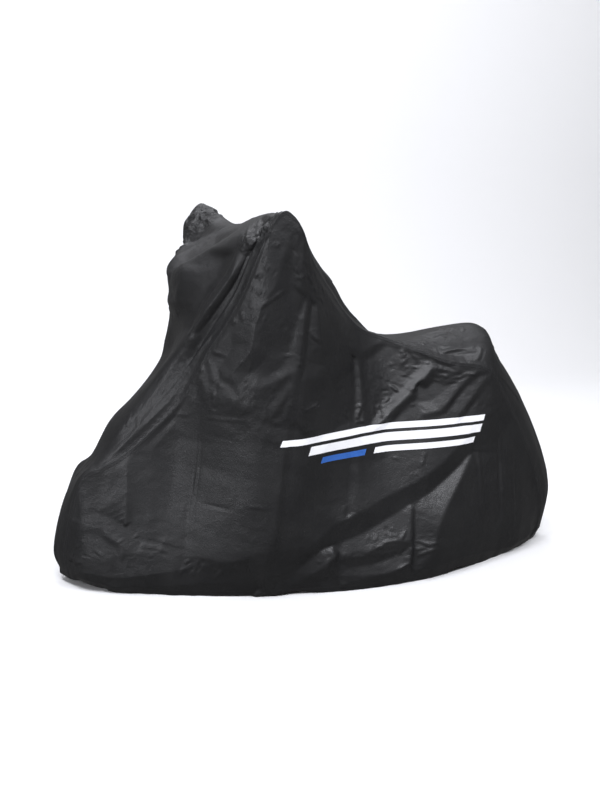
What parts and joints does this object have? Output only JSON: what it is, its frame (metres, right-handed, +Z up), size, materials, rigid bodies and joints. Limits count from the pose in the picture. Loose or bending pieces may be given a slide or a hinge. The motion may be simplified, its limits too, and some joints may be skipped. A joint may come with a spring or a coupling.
{
  "type": "motorcycle cover",
  "caption": "Fitted black cloth motorcycle cover, draped in the shape of the machine under it and hollow inside.",
  "frame": {"origin": "on the ground, at the middle of the cover's bounding box", "axes": "+X towards the tail, +Y to the rider's right, +Z up"},
  "size_m": [1.823, 0.7756, 1.2349],
  "materials": {
    "coated_cloth": "thin black woven polyester with a soft sheen from its coating"
  },
  "bodies": {
    "root": {"side_panel_left": "coated_cloth", "centre_panel": "coated_cloth", "side_panel_right": "coated_cloth"}
  },
  "joints": []
}
